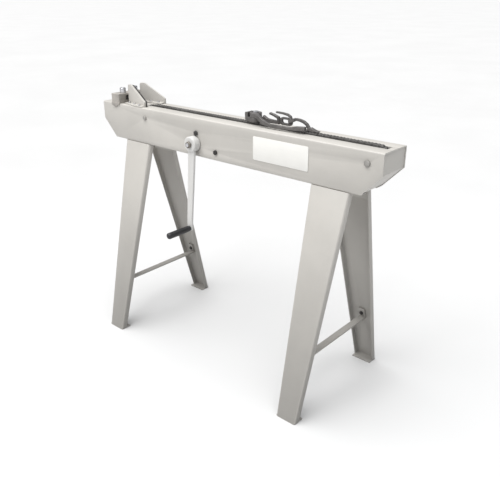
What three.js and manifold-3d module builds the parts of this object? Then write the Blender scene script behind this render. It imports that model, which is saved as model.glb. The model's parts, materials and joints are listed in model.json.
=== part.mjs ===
// Hand-cranked draw bench: a folded beam on two splayed trestles, an endless chain driven through
// a gear pair by a crank, draw tongs hooked to the chain, and a holder for the draw plate.
// Millimetres, X along the beam away from the die end, Y to the back, Z up, floor at Z = 0.
import * as THREE from 'three';
import { mergeVertices } from 'three/addons/utils/BufferGeometryUtils.js';
import Module from 'manifold-3d';

const wasm = await Module();
wasm.setup();

// Beam
const BEAM_L = 1360;
const BEAM_W = 136;
const TOP = 948;
const BEAM_H = 146;
const END_DROP = 71;
const END_RUN = 73;
const END_RISE = BEAM_H - END_DROP;
const SHEET = 5;
const SLOT_W = 32;
const SLOT_X0 = -452;
const SLOT_X1 = 660;
const GAP = 0.35;

// Trestles
const FOOT_Y = 271;
const LEG_X = [-468, 494];
const LEG_TOP_HALF = 74.5;
const LEG_FOOT_HALF = 41;
const LEG_SHEET = 4;
const LEG_FLANGE = 24;
const TAB_DEPTH = 45;
const BRACE_Z = 205;

// Chain and sprockets
const PITCH = 12.7;
const END_TEETH = 20;
const DRIVE_TEETH = 12;
const ROLLER_R = 3.96;
const CHAIN_RISE = 1.5;
const AXLE_Z = TOP + CHAIN_RISE - pitchRadius(END_TEETH);
const AXLE_LEFT_X = -408.5;
const AXLE_RIGHT_NOMINAL_X = 628;
const IDLER_R = 18.255;
const IDLER_OFFSET = 50;
const LINK_HALF_H = 5;

// Crank and gears
const CRANK = [-120.3, 852];
const MODULE = 2.5;
const PINION_TEETH = 12;
const GEAR_TEETH = 35;
const GEAR_LINE = 10.31 * Math.PI / 180;
const CENTRES = MODULE * (PINION_TEETH + GEAR_TEETH) / 2;
const COUNTER = [CRANK[0] + CENTRES * Math.cos(GEAR_LINE), CRANK[1] + CENTRES * Math.sin(GEAR_LINE)];
const SHAFT_R = 10;
const RUN_FIT = 0.1;
const CRANK_REACH = 332;
const ARM_Y = [-93, -83];
const EYE_Y = [-116.7, -108.7];
const GRIP_Y = [-232.8, -118.7];
const BOLT_A = [-50, 28.8];

// Die end
const HOLDER_X = [-617, -568];
const HOLDER_TOP = 986;
const WIRE_Z = 968;
const GUSSET_X0 = -552;
const GUSSET_Y0 = 31;
const GUSSET_X1 = -423;
const GUSSET_Y1 = 55;
const GUSSET_H = 76;

// Tongs
const RIVET_X = 125;
const JAW_X = 89;
const JAW_HALF = 18;
const TONG_Z = [956, 989];
const LAP_Z = 972.5;
const HOOK_PIN = [281, 977];

const HALF_W = BEAM_W / 2;
const HALF_L = BEAM_L / 2;
const BOTTOM = TOP - BEAM_H;
const FACE = -HALF_W;

const group = new THREE.Group();
group.name = 'draw_bench';

function pitchRadius(teeth) {
  return teeth * PITCH / (2 * Math.PI);
}

// ---- solids -------------------------------------------------------------------------------

function solid(geometry) {
  const bare = geometry.index ? geometry.toNonIndexed() : geometry;
  bare.deleteAttribute('normal');
  bare.deleteAttribute('uv');
  const merged = mergeVertices(bare, 1e-4);
  const mesh = new wasm.Mesh({
    numProp: 3,
    vertProperties: new Float32Array(merged.attributes.position.array),
    triVerts: new Uint32Array(merged.index.array),
  });
  return new wasm.Manifold(mesh);
}

function toGeometry(body) {
  const mesh = body.getMesh();
  const geometry = new THREE.BufferGeometry();
  geometry.setAttribute('position', new THREE.BufferAttribute(new Float32Array(mesh.vertProperties), 3));
  geometry.setIndex(new THREE.BufferAttribute(new Uint32Array(mesh.triVerts), 1));
  geometry.computeVertexNormals();
  return geometry;
}

function extrude(points, depth, basis, origin, holes = []) {
  const shape = new THREE.Shape(points.map(([a, b]) => new THREE.Vector2(a, b)));
  for (const hole of holes) {
    shape.holes.push(new THREE.Path(hole.map(([a, b]) => new THREE.Vector2(a, b))));
  }
  const geometry = new THREE.ExtrudeGeometry(shape, { depth, bevelEnabled: false });
  const matrix = new THREE.Matrix4().makeBasis(...basis.map((v) => new THREE.Vector3(...v)));
  matrix.setPosition(...origin);
  geometry.applyMatrix4(matrix);
  return solid(geometry);
}

// Outline in X and Z, from y0 back to y1.
function prismY(points, y0, y1, holes = []) {
  return extrude(points, y1 - y0, [[1, 0, 0], [0, 0, 1], [0, -1, 0]], [0, y1, 0], holes);
}

// Outline in Y and Z, from x0 to x1.
function prismX(points, x0, x1) {
  return extrude(points, x1 - x0, [[0, 1, 0], [0, 0, 1], [1, 0, 0]], [x0, 0, 0]);
}

// Outline in X and Y, from z0 up to z1.
function prismZ(points, z0, z1, holes = []) {
  return extrude(points, z1 - z0, [[1, 0, 0], [0, 1, 0], [0, 0, 1]], [0, 0, z0], holes);
}

function box(x0, x1, y0, y1, z0, z1) {
  const geometry = new THREE.BoxGeometry(x1 - x0, y1 - y0, z1 - z0);
  geometry.translate((x0 + x1) / 2, (y0 + y1) / 2, (z0 + z1) / 2);
  return solid(geometry);
}

function cylinderY([x, z], radius, y0, y1, segments = 20) {
  const geometry = new THREE.CylinderGeometry(radius, radius, y1 - y0, segments);
  geometry.translate(x, (y0 + y1) / 2, z);
  return solid(geometry);
}

function cylinderZ(x, y, radius, z0, z1, segments = 20) {
  const geometry = new THREE.CylinderGeometry(radius, radius, z1 - z0, segments);
  geometry.rotateX(Math.PI / 2);
  geometry.translate(x, y, (z0 + z1) / 2);
  return solid(geometry);
}

function cylinderX(x0, x1, y, z, radius, endRadius = radius, segments = 20) {
  const geometry = new THREE.CylinderGeometry(endRadius, radius, x1 - x0, segments);
  geometry.rotateZ(-Math.PI / 2);
  geometry.translate((x0 + x1) / 2, y, z);
  return solid(geometry);
}

// Profile of [radius, y] pairs turned about the line through (x, z) along Y.
function turnedY([x, z], profile, segments = 24) {
  const geometry = new THREE.LatheGeometry(profile.map(([r, y]) => new THREE.Vector2(r, y)), segments);
  geometry.translate(x, 0, z);
  return solid(geometry);
}

function union(first, ...rest) {
  return rest.reduce((sum, body) => sum.add(body), first);
}

function cut(first, ...rest) {
  return rest.reduce((sum, body) => sum.subtract(body), first);
}

// ---- outlines -----------------------------------------------------------------------------

function arc(cx, cy, radius, from, to, steps) {
  const points = [];
  for (let i = 0; i <= steps; i += 1) {
    const angle = from + (to - from) * i / steps;
    points.push([cx + radius * Math.cos(angle), cy + radius * Math.sin(angle)]);
  }
  return points;
}

// Closed outline with some corners rounded; each entry is [a, b] or [a, b, radius].
function rounded(corners, steps = 3) {
  const points = [];
  corners.forEach(([a, b, radius], i) => {
    if (!radius) {
      points.push([a, b]);
      return;
    }
    const here = new THREE.Vector2(a, b);
    const before = corners[(i + corners.length - 1) % corners.length];
    const after = corners[(i + 1) % corners.length];
    const toBefore = new THREE.Vector2(before[0] - a, before[1] - b).normalize();
    const toAfter = new THREE.Vector2(after[0] - a, after[1] - b).normalize();
    const half = Math.acos(toBefore.dot(toAfter)) / 2;
    const reach = radius / Math.tan(half);
    const inward = toBefore.clone().add(toAfter).normalize();
    const centre = here.clone().addScaledVector(inward, radius / Math.sin(half));
    const start = here.clone().addScaledVector(toBefore, reach).sub(centre);
    const end = here.clone().addScaledVector(toAfter, reach).sub(centre);
    const sweep = Math.atan2(start.cross(end), start.dot(end));
    const first = start.angle();
    points.push(...arc(centre.x, centre.y, radius, first, first + sweep, steps));
  });
  return points;
}

// Flat bar along a line of [a, b, width] stations.
function ribbon(stations) {
  const left = [];
  const right = [];
  stations.forEach(([a, b, width], i) => {
    const prev = stations[Math.max(i - 1, 0)];
    const next = stations[Math.min(i + 1, stations.length - 1)];
    const back = new THREE.Vector2(a - prev[0], b - prev[1]);
    const ahead = new THREE.Vector2(next[0] - a, next[1] - b);
    const along = back.normalize().add(ahead.normalize()).normalize();
    left.push([a - along.y * width / 2, b + along.x * width / 2]);
    right.unshift([a + along.y * width / 2, b - along.x * width / 2]);
  });
  return [...right.reverse(), ...left.reverse()];
}

// Sprocket outline: round seats for the rollers and blunt teeth between them.
function sprocketOutline([cx, cy], teeth, phase) {
  const points = [];
  const radius = pitchRadius(teeth);
  const seat = ROLLER_R + 0.45;
  const step = 2 * Math.PI / teeth;
  for (let i = 0; i < teeth; i += 1) {
    const mid = phase + i * step;
    const x = cx + radius * Math.cos(mid);
    const y = cy + radius * Math.sin(mid);
    for (const turn of [-75, 0, 75]) {
      const angle = mid + Math.PI - turn * Math.PI / 180;
      points.push([x + seat * Math.cos(angle), y + seat * Math.sin(angle)]);
    }
    for (const side of [-0.11, 0.11]) {
      const angle = mid + step / 2 + side * step;
      points.push([cx + (radius + 3.4) * Math.cos(angle), cy + (radius + 3.4) * Math.sin(angle)]);
    }
  }
  return points;
}

// Involute outline with stub teeth; phase is the direction of one tooth's middle.
function gearOutline([cx, cy], teeth, phase) {
  const pitch = MODULE * teeth / 2;
  const base = pitch * Math.cos(25 * Math.PI / 180);
  const tip = pitch + 0.8 * MODULE;
  const root = pitch - 1.05 * MODULE;
  const inv = (r) => {
    const t = Math.sqrt(Math.max((r / base) ** 2 - 1, 0));
    return t - Math.atan(t);
  };
  const halfAtPitch = Math.PI / (2 * teeth) - 0.14 / pitch;
  const half = (r) => halfAtPitch + inv(pitch) - inv(r);
  const start = Math.max(base, root + 0.2);
  const radii = [start, pitch, tip];
  const points = [];
  const put = (r, angle) => points.push([cx + r * Math.cos(angle), cy + r * Math.sin(angle)]);
  for (let i = 0; i < teeth; i += 1) {
    const mid = phase + i * 2 * Math.PI / teeth;
    put(root, mid - half(start) - 0.2 / root);
    radii.forEach((r) => put(r, mid - half(r)));
    [...radii].reverse().forEach((r) => put(r, mid + half(r)));
    put(root, mid + half(start) + 0.2 / root);
  }
  return points;
}

// Two-bolt flange: a big disc and two small ones at the bolts, joined by straight edges.
function lozenge([cx, cy], [dx, dy], big, small) {
  const reach = Math.hypot(dx, dy);
  const along = Math.atan2(dy, dx);
  const lean = Math.acos((big - small) / reach);
  const left = along + Math.PI;
  return [
    ...arc(cx + dx, cy + dy, small, along - lean, along + lean, 6),
    ...arc(cx, cy, big, along + lean, left - lean, 5),
    ...arc(cx - dx, cy - dy, small, left - lean, left + lean, 6),
    ...arc(cx, cy, big, left + lean, along + 2 * Math.PI - lean, 5),
  ];
}

// ---- the chain's path ---------------------------------------------------------------------

// Wheels in the order that the chain visits them; turn is -1 clockwise seen from the front.
function wheels(rightX) {
  const end = pitchRadius(END_TEETH);
  return [
    { x: AXLE_LEFT_X, z: AXLE_Z, r: end, turn: -1 },
    { x: rightX, z: AXLE_Z, r: end, turn: -1 },
    { x: COUNTER[0] + IDLER_OFFSET, z: COUNTER[1], r: IDLER_R, turn: -1 },
    { x: COUNTER[0], z: COUNTER[1], r: pitchRadius(DRIVE_TEETH), turn: 1 },
    { x: COUNTER[0] - IDLER_OFFSET, z: COUNTER[1], r: IDLER_R, turn: -1 },
  ];
}

function headingBetween(a, b) {
  const dx = b.x - a.x;
  const dz = b.z - a.z;
  const offset = b.r * b.turn - a.r * a.turn;
  return Math.atan2(dz, dx) - Math.asin(offset / Math.hypot(dx, dz));
}

// Straight runs and arcs, each with the length at which it starts.
function chainPath(rightX) {
  const list = wheels(rightX);
  const headings = list.map((wheel, i) => headingBetween(wheel, list[(i + 1) % list.length]));
  const pieces = [];
  let length = 0;
  list.forEach((wheel, i) => {
    const next = list[(i + 1) % list.length];
    const heading = headings[i];
    const after = headings[(i + 1) % list.length];
    const normal = [-Math.sin(heading), Math.cos(heading)];
    const from = [wheel.x - wheel.r * wheel.turn * normal[0], wheel.z - wheel.r * wheel.turn * normal[1]];
    const to = [next.x - next.r * next.turn * normal[0], next.z - next.r * next.turn * normal[1]];
    const run = Math.hypot(to[0] - from[0], to[1] - from[1]);
    pieces.push({ kind: 'run', from, heading, length: run, start: length });
    length += run;
    const full = 2 * Math.PI;
    const sweep = (((after - heading) * next.turn) % full + full) % full;
    pieces.push({ kind: 'arc', wheel: next, heading, sweep, length: sweep * next.r, start: length });
    length += sweep * next.r;
  });
  return { pieces, length };
}

// Point on a piece, moved sideways by offset (positive to the left of travel).
function pathPoint(piece, along, offset) {
  if (piece.kind === 'run') {
    const [x, z] = piece.from;
    const h = piece.heading;
    return [x + along * Math.cos(h) - offset * Math.sin(h), z + along * Math.sin(h) + offset * Math.cos(h)];
  }
  const { wheel } = piece;
  const h = piece.heading + wheel.turn * along / wheel.r;
  const side = offset - wheel.r * wheel.turn;
  return [wheel.x - side * Math.sin(h), wheel.z + side * Math.cos(h)];
}

function takeUp() {
  let rightX = AXLE_RIGHT_NOMINAL_X;
  const links = 2 * Math.round(chainPath(rightX).length / PITCH / 2);
  for (let i = 0; i < 6; i += 1) {
    rightX += (links * PITCH - chainPath(rightX).length) / 2;
  }
  return { rightX, links };
}

const { rightX: AXLE_RIGHT_X, links: LINKS } = takeUp();
const PATH = chainPath(AXLE_RIGHT_X);

function onPath(length) {
  const wrapped = (length % PATH.length + PATH.length) % PATH.length;
  const piece = [...PATH.pieces].reverse().find((p) => p.start <= wrapped + 1e-9);
  return pathPoint(piece, wrapped - piece.start, 0);
}

// Direction from a wheel's centre to one chain roller that lies on it.
function seatPhase(x, z) {
  const piece = PATH.pieces.find((p) => p.kind === 'arc' && p.wheel.x === x && p.wheel.z === z);
  const roller = onPath(Math.ceil(piece.start / PITCH) * PITCH);
  return Math.atan2(roller[1] - z, roller[0] - x);
}

// ---- pieces -------------------------------------------------------------------------------

const MATERIALS = {
  paint: { color: 0xc9c6c0, roughness: 0.55, metalness: 0.1 },
  steel: { color: 0x55555a, roughness: 0.45, metalness: 0.8 },
  bright: { color: 0xb8b8ba, roughness: 0.3, metalness: 0.9 },
  black: { color: 0x151515, roughness: 0.6, metalness: 0 },
  bronze: { color: 0x9a7440, roughness: 0.4, metalness: 0.8 },
  plate: { color: 0xe6e5df, roughness: 0.4, metalness: 0 },
};

function add(name, body, material) {
  const mesh = new THREE.Mesh(toGeometry(body), new THREE.MeshStandardMaterial(MATERIALS[material]));
  mesh.name = name;
  group.add(mesh);
}

function mirrorPoints(points) {
  return points.map(([a, b, r]) => [-a, b, r]).reverse();
}

function addBeam() {
  const inner = SHEET + 0.5;
  const profile = [
    [-SLOT_W / 2, TOP - SHEET], [-SLOT_W / 2, TOP], [-HALF_W, TOP, 6], [-HALF_W, BOTTOM, 6],
    [-34, BOTTOM], [-34, BOTTOM + SHEET], [-HALF_W + SHEET, BOTTOM + SHEET, 1.5],
    [-HALF_W + SHEET, TOP - SHEET, 1.5],
  ];
  const past = 20;
  const steep = END_RISE / END_RUN;
  const chamfer = (side) => prismY(orient([
    [side * (HALF_L + past), TOP - END_DROP + past * steep],
    [side * (HALF_L - END_RUN - past), BOTTOM - past * steep],
    [side * (HALF_L + past), BOTTOM - past * steep],
  ]), -100, 100);
  const axleHoles = [AXLE_LEFT_X, AXLE_RIGHT_X].map((x) => cylinderY([x, AXLE_Z], 7.9, -100, 100));
  const front = [
    cylinderY(CRANK, 16, -100, 0),
    cylinderY(boltAt(1), 5.4, -100, 0),
    cylinderY(boltAt(-1), 5.4, -100, 0),
  ];
  const rear = idlerCentres().map((at) => cylinderY(at, 6.4, 0, 100));
  const channel = (points) => cut(prismX(rounded(points), -HALF_L, HALF_L), chamfer(1), chamfer(-1));
  add('side_front', cut(channel(profile), ...axleHoles, ...front), 'paint');
  add('side_rear', cut(channel(mirrorPoints(profile)), ...axleHoles, ...rear), 'paint');
  addEndPlate('end_plate_right', 1);
  addEndPlate('end_plate_left', -1);
}

function boltAt(side) {
  return [COUNTER[0] + side * BOLT_A[0], COUNTER[1] + side * BOLT_A[1]];
}

function idlerCentres() {
  return [-1, 1].map((side) => [COUNTER[0] + side * IDLER_OFFSET, COUNTER[1]]);
}

// Cap inside the end of the beam, with a tongue on top that closes the end of the slot.
function addEndPlate(name, side) {
  const top = TOP - SHEET - GAP;
  const foot = BOTTOM + SHEET + GAP;
  const lean = END_RUN / END_RISE;
  const knee = TOP - END_DROP;
  const face = (inset) => HALF_L - inset;
  const sloped = (z, inset) => HALF_L - (knee - z) * lean - inset * Math.hypot(1, lean);
  const kneeAt = (inset) => knee + (inset * Math.hypot(1, lean) - inset) / lean;
  const points = [
    [face(2), top], [face(6), top], [face(6), kneeAt(6)], [sloped(foot, 6), foot],
    [sloped(foot, 2), foot], [face(2), kneeAt(2)],
  ];
  const outline = side > 0 ? points : mirrorPoints(points);
  const cap = prismY(outline, FACE + SHEET + 1.8, -FACE - SHEET - 1.8);
  const half = SLOT_W / 2 - GAP;
  const between = (a, b, low) => box(Math.min(a, b), Math.max(a, b), -half, half, low, TOP);
  const tongue = between(side > 0 ? SLOT_X1 : SLOT_X0, side * HALF_L, TOP - SHEET);
  const riser = between(side * face(6), side * face(2), top - 3);
  add(name, union(cap, tongue, riser), 'paint');
}

// Leg: a folded channel that narrows to the foot, with a tab turned in flat on the floor.
function legBody() {
  const rise = BOTTOM;
  const spread = FOOT_Y - HALF_W;
  const slant = Math.hypot(rise, spread);
  const down = [0, -spread / slant, -rise / slant];
  const out = [0, -rise / slant, spread / slant];
  const top = LEG_TOP_HALF;
  const taper = (LEG_TOP_HALF - LEG_FOOT_HALF) / slant;
  const outline = rounded([
    [top, 0, 7], [-top, 0, 7], [-top, -LEG_FLANGE], [-top + LEG_SHEET, -LEG_FLANGE],
    [-top + LEG_SHEET, -LEG_SHEET, 3], [top - LEG_SHEET, -LEG_SHEET, 3],
    [top - LEG_SHEET, -LEG_FLANGE], [top, -LEG_FLANGE],
  ]).reverse();
  const shape = new THREE.Shape(outline.map(([a, b]) => new THREE.Vector2(a, b)));
  const geometry = new THREE.ExtrudeGeometry(shape, { depth: slant + 40, bevelEnabled: false });
  const position = geometry.attributes.position;
  for (let i = 0; i < position.count; i += 1) {
    const x = position.getX(i);
    position.setX(i, x - Math.sign(x) * taper * (position.getZ(i) - 20));
  }
  const basis = [[1, 0, 0], out, down].map((v) => new THREE.Vector3(...v));
  const matrix = new THREE.Matrix4().makeBasis(...basis);
  matrix.setPosition(0, FACE - 20 * down[1], BOTTOM - 20 * down[2]);
  geometry.applyMatrix4(matrix);
  const channel = solid(geometry).intersect(box(-200, 200, -400, 0, 0, BOTTOM - GAP));
  const tab = box(-LEG_FOOT_HALF + 0.4, LEG_FOOT_HALF - 0.4, -FOOT_Y + 2, -FOOT_Y + TAB_DEPTH, 0, 5);
  return cut(union(channel, tab), legBolt().hole);
}

function webInner(z) {
  const lean = (FOOT_Y - HALF_W) / BOTTOM;
  return -(HALF_W + (BOTTOM - z) * lean) + LEG_SHEET * Math.hypot(1, lean);
}

// The brace bolt enters from the inside and ends within the leg's sheet.
function legBolt() {
  const lean = Math.atan2(FOOT_Y - HALF_W, BOTTOM);
  const z = BRACE_Z + 26;
  const place = (radius, y0, y1, segments) => {
    const geometry = new THREE.CylinderGeometry(radius, radius, y1 - y0, segments);
    geometry.translate(0, (y0 + y1) / 2, 0);
    geometry.rotateX(-lean);
    geometry.translate(0, webInner(z), z);
    return solid(geometry);
  };
  const body = union(place(8, 6.7, 12.5, 6), place(4, -2.2, 7, 10));
  return { body, hole: place(4.3, -2.6, 30, 10) };
}

function addTrestle(side, x) {
  const leg = legBody();
  const bolt = legBolt().body;
  add(`leg_front_${side}`, leg.translate(x, 0, 0), 'paint');
  add(`leg_rear_${side}`, leg.rotate(0, 0, 180).translate(x, 0, 0), 'paint');
  add(`brace_bolt_front_${side}`, bolt.translate(x, 0, 0), 'black');
  add(`brace_bolt_rear_${side}`, bolt.rotate(0, 0, 180).translate(x, 0, 0), 'black');
  addSaddle(side, x);
  addBrace(side, x);
}

// Clear distance of a cross piece from the leg's web.
function slip(z) {
  return webInner(z) + GAP + 0.02;
}

// Bent strip between the two legs: flat across, its ends turned up along the webs.
function addBrace(side, x) {
  const holes = [legBolt().hole, legBolt().hole.rotate(0, 0, 180)].map((hole) => hole.translate(x, 0, 0));
  const low = BRACE_Z;
  const high = BRACE_Z + 44;
  const thick = 6;
  const wall = thick * 1.032;
  const right = [
    [-slip(low), low], [-slip(high), high],
    [-slip(high) - wall, high], [-slip(low + thick) - wall, low + thick],
  ];
  const left = mirrorPoints(right);
  add(`brace_${side}`, cut(prismX(orient([...left, ...right]), x - 13, x + 13), ...holes), 'paint');
}

function addSaddle(side, x) {
  const z = BOTTOM - GAP;
  const outline = [
    [slip(z), z], [slip(z - 60), z - 60], [slip(z - 60) + 6.2, z - 60], [slip(z - 6) + 6.2, z - 6],
    [-slip(z - 6) - 6.2, z - 6], [-slip(z - 60) - 6.2, z - 60], [-slip(z - 60), z - 60], [-slip(z), z],
  ];
  add(`saddle_${side}`, prismX(outline, x - 62, x + 62), 'paint');
}

// Frame of a gusset: s runs along its base from the die end, n toward the back.
function gussetFrame(ySign) {
  const from = [GUSSET_X0, ySign * GUSSET_Y0];
  const to = [GUSSET_X1, ySign * GUSSET_Y1];
  const length = Math.hypot(to[0] - from[0], to[1] - from[1]);
  const along = [(to[0] - from[0]) / length, (to[1] - from[1]) / length, 0];
  const back = [-along[1], along[0], 0];
  const spot = (s, n) => [from[0] + s * along[0] + n * back[0], from[1] + s * along[1] + n * back[1]];
  const plate = (outline, n0, n1) => extrude(
    outline, n1 - n0, [along, [0, 0, 1], back.map((v) => -v)], [...spot(0, n1), TOP + GAP],
  );
  return { length, spot, plate };
}

function addGusset(name, ySign) {
  const { length, spot, plate } = gussetFrame(ySign);
  const z0 = TOP + GAP;
  const web = plate(rounded([
    [0, 0], [length, 0], [length, 20, 4], [26, GUSSET_H, 6], [0, GUSSET_H, 9],
  ]), 0, 8);
  const foot = prismZ([spot(3, -22), spot(length - 3, -22), spot(length - 3, 2), spot(3, 2)], z0, z0 + 4.2)
    .intersect(box(-700, 0, FACE + 1.5, -FACE, 0, 2000));
  const spots = [22, 62, 102].map((s) => spot(s, -8.5));
  const holes = spots.map(([x, y]) => cylinderZ(x, y, 3.4, 900, 1000, 10));
  add(name, cut(union(web, foot), ...holes), 'paint');
  spots.forEach(([x, y], i) => {
    const head = cylinderZ(x, y, 5.8, z0 + 4.5, z0 + 8.7, 6);
    const shank = cylinderZ(x, y, 3, z0 - 0.1, z0 + 5, 10);
    add(`${name}_bolt_${i + 1}`, union(head, shank), 'bright');
  });
}

// Dark wear plate inside the front gusset, standing a little proud of its slanted edge.
function addLiner() {
  const { length, plate } = gussetFrame(-1);
  add('gusset_liner', plate([
    [2, 0], [length + 4, 0], [length + 4, 22], [35, GUSSET_H - 1], [2, GUSSET_H - 1],
  ], 8.3, 11.6), 'black');
}

function addDieEnd() {
  const [x0, x1] = HOLDER_X;
  const z0 = TOP + GAP;
  const block = prismX(rounded([[-69, z0], [69, z0], [69, HOLDER_TOP, 2], [-69, HOLDER_TOP, 2]]), x0, x1);
  const lug = orient([[x0, z0 + 3], [x0, 941], [x0 + 20.5, 931.5], [x1, 945], [x1, z0 + 3]]);
  const body = union(block, prismY(lug, -72, -68.6), prismY(lug, 68.6, 72));
  const pocket = box(x0 - 5, x1 - 15, -52, 52, WIRE_Z - 14.5, WIRE_Z + 14.5);
  const window = box(x1 - 20, x1 + 5, -33, 33, WIRE_Z - 10, WIRE_Z + 10);
  const screwX = x1 - 20;
  const screws = [-31, 31].map((y) => cylinderZ(screwX, y, 6 + RUN_FIT, WIRE_Z, 1100, 28));
  add('die_holder', cut(body, pocket, window, ...screws), 'steel');
  const plate = box(x1 - 29.5, x1 - 15.4, -50, 50, WIRE_Z - 14, WIRE_Z + 14);
  const dies = [-36, -24, -12, 0, 12, 24, 36].map((y, i) => {
    const radius = 3.2 - 0.3 * i;
    return cylinderX(x1 - 35, x1 - 10, y, WIRE_Z, radius + 2, radius, 10);
  });
  add('draw_plate', cut(plate, ...dies), 'steel');
  [['clamp_screw_front', -31], ['clamp_screw_rear', 31]].forEach(([name, y]) => {
    const head = cylinderZ(screwX, y, 12.5, HOLDER_TOP + GAP, HOLDER_TOP + 21, 24);
    const shank = cylinderZ(screwX, y, 6, WIRE_Z + 14.3, HOLDER_TOP + 2, 28);
    const socket = cylinderZ(screwX, y, 5.8, HOLDER_TOP + 12, HOLDER_TOP + 30, 6);
    add(name, cut(union(head, shank), socket), 'bright');
  });
  addGusset('gusset_front', -1);
  addGusset('gusset_rear', 1);
  addLiner();
}

function addChain() {
  const outer = [];
  const inner = [];
  PATH.pieces.forEach((piece) => {
    const steps = piece.kind === 'run' ? 1 : Math.max(3, Math.round(piece.sweep * 4));
    for (let i = 0; i < steps; i += 1) {
      outer.push(pathPoint(piece, piece.length * i / steps, LINK_HALF_H));
      inner.push(pathPoint(piece, piece.length * i / steps, -LINK_HALF_H));
    }
  });
  const strip = (y0, y1) => cut(prismY(outer, y0, y1), prismY(inner, y0 - 1, y1 + 1));
  const strips = [strip(-8, -5.6), strip(5.6, 8)];
  const bars = [];
  for (let i = 0; i < LINKS; i += 2) {
    bars.push(cylinderY(onPath(i * PITCH), 3, -6.5, 6.5, 4));
  }
  add('chain', union(strips[0], strips[1], ...bars), 'steel');
}

function addEndSprocket(name, axleName, x, headR) {
  const at = [x, AXLE_Z];
  const web = prismY(sprocketOutline(at, END_TEETH, seatPhase(x, AXLE_Z)), -3.6, 3.6);
  const hub = cylinderY(at, 16, -14, 14);
  const bore = cylinderY(at, 7.5 + RUN_FIT, -50, 50, 28);
  add(name, cut(union(web, hub), bore), 'steel');
  const shaft = cylinderY(at, 7.5, FACE - 1, 69, 28);
  const head = cylinderY(at, headR, FACE - 5, FACE - GAP, 6);
  const nut = cylinderY(at, 11, HALF_W + GAP, HALF_W + 9, 6);
  add(axleName, union(shaft, head, nut), 'bright');
}

function addDrive() {
  const mesh = GEAR_LINE;
  const pinion = prismY(gearOutline(CRANK, PINION_TEETH, mesh + Math.PI / PINION_TEETH), -48, -30);
  add('pinion', cut(pinion, cylinderY(CRANK, SHAFT_R + GAP, -60, 0)), 'steel');
  const gear = prismY(gearOutline(COUNTER, GEAR_TEETH, mesh + Math.PI), -46, -32);
  const gearHub = cylinderY(COUNTER, 19, -32.5, -24);
  const windows = [0, 1, 2, 3].map((i) => {
    const angle = 0.3 + i * Math.PI / 2;
    const at = [COUNTER[0] + 28 * Math.cos(angle), COUNTER[1] + 28 * Math.sin(angle)];
    return cylinderY(at, 7, -60, -31, 12);
  });
  add('gear', cut(union(gear, gearHub), cylinderY(COUNTER, SHAFT_R + GAP, -60, 0), ...windows), 'steel');
  const seats = sprocketOutline(COUNTER, DRIVE_TEETH, seatPhase(...COUNTER));
  const drive = union(prismY(seats, -3.6, 3.6), cylinderY(COUNTER, 16, -12, 12));
  add('drive_sprocket', cut(drive, cylinderY(COUNTER, SHAFT_R + GAP, -60, 60)), 'steel');
  add('countershaft', cylinderY(COUNTER, SHAFT_R, -60, 60, 28), 'bright');
  const flange = lozenge(COUNTER, BOLT_A, 24, 12);
  const bore = cylinderY(COUNTER, SHAFT_R + RUN_FIT, -100, 100, 28);
  const boltHoles = [boltAt(1), boltAt(-1)].map((at) => cylinderY(at, 5.4, -100, 0, 12));
  add('bearing_front', cut(prismY(flange, FACE + SHEET + GAP, -50.5), bore, ...boltHoles), 'steel');
  add('bearing_rear', cut(prismY(flange, 50.5, HALF_W - SHEET - GAP), bore), 'steel');
  [['bearing_bolt_upper', 1], ['bearing_bolt_lower', -1]].forEach(([name, side]) => {
    const nut = cylinderY(boltAt(side), 9.6, FACE - 6, FACE - GAP, 6);
    const stud = cylinderY(boltAt(side), 5, FACE - 8.5, -50, 12);
    add(name, union(nut, stud), 'black');
  });
  [['left', 0], ['right', 1]].forEach(([side, i]) => addIdler(side, idlerCentres()[i]));
}

function addIdler(side, at) {
  const roll = union(
    cylinderY(at, IDLER_R - LINK_HALF_H - 0.9, -11, 11),
    cylinderY(at, 17, -12, -9.6), cylinderY(at, 17, 9.6, 12),
  );
  add(`idler_roller_${side}`, cut(roll, cylinderY(at, 6 + RUN_FIT, -30, 30, 28)), 'steel');
  const pin = cylinderY(at, 6, -14, 69, 28);
  const cap = cylinderY(at, 9, -17, -13.5);
  const collar = cylinderY(at, 7.5, 13.5, HALF_W - SHEET - GAP);
  const head = cylinderY(at, 10, HALF_W + GAP, HALF_W + 7, 6);
  add(`idler_axle_${side}`, union(pin, cap, collar, head), 'bright');
}

function addCrank() {
  const collar = turnedY(CRANK, [
    [SHAFT_R + RUN_FIT, FACE - 1.8], [22, FACE - 1.8], [22, FACE - GAP], [15.6, FACE - GAP],
    [15.6, -50.5], [SHAFT_R + RUN_FIT, -50.5], [SHAFT_R + RUN_FIT, FACE - 1.8],
  ], 28);
  add('crank_bush', collar, 'bronze');
  const shaft = union(cylinderY(CRANK, SHAFT_R, -105, -19, 28), cylinderY(CRANK, 7, -111, -104));
  add('crank_shaft', shaft, 'bright');
  const bracketWall = box(-166, -160, FACE + SHEET + GAP, -20, CRANK[1] - 30, CRANK[1] + 30);
  const bracketPlate = box(-166, -98, -26, -20, CRANK[1] - 30, CRANK[1] + 30);
  const bracketBore = cylinderY(CRANK, SHAFT_R + RUN_FIT, -30, -10, 28);
  add('crank_bracket', cut(union(bracketWall, bracketPlate), bracketBore), 'paint');
  addCrankArm();
}

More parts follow.
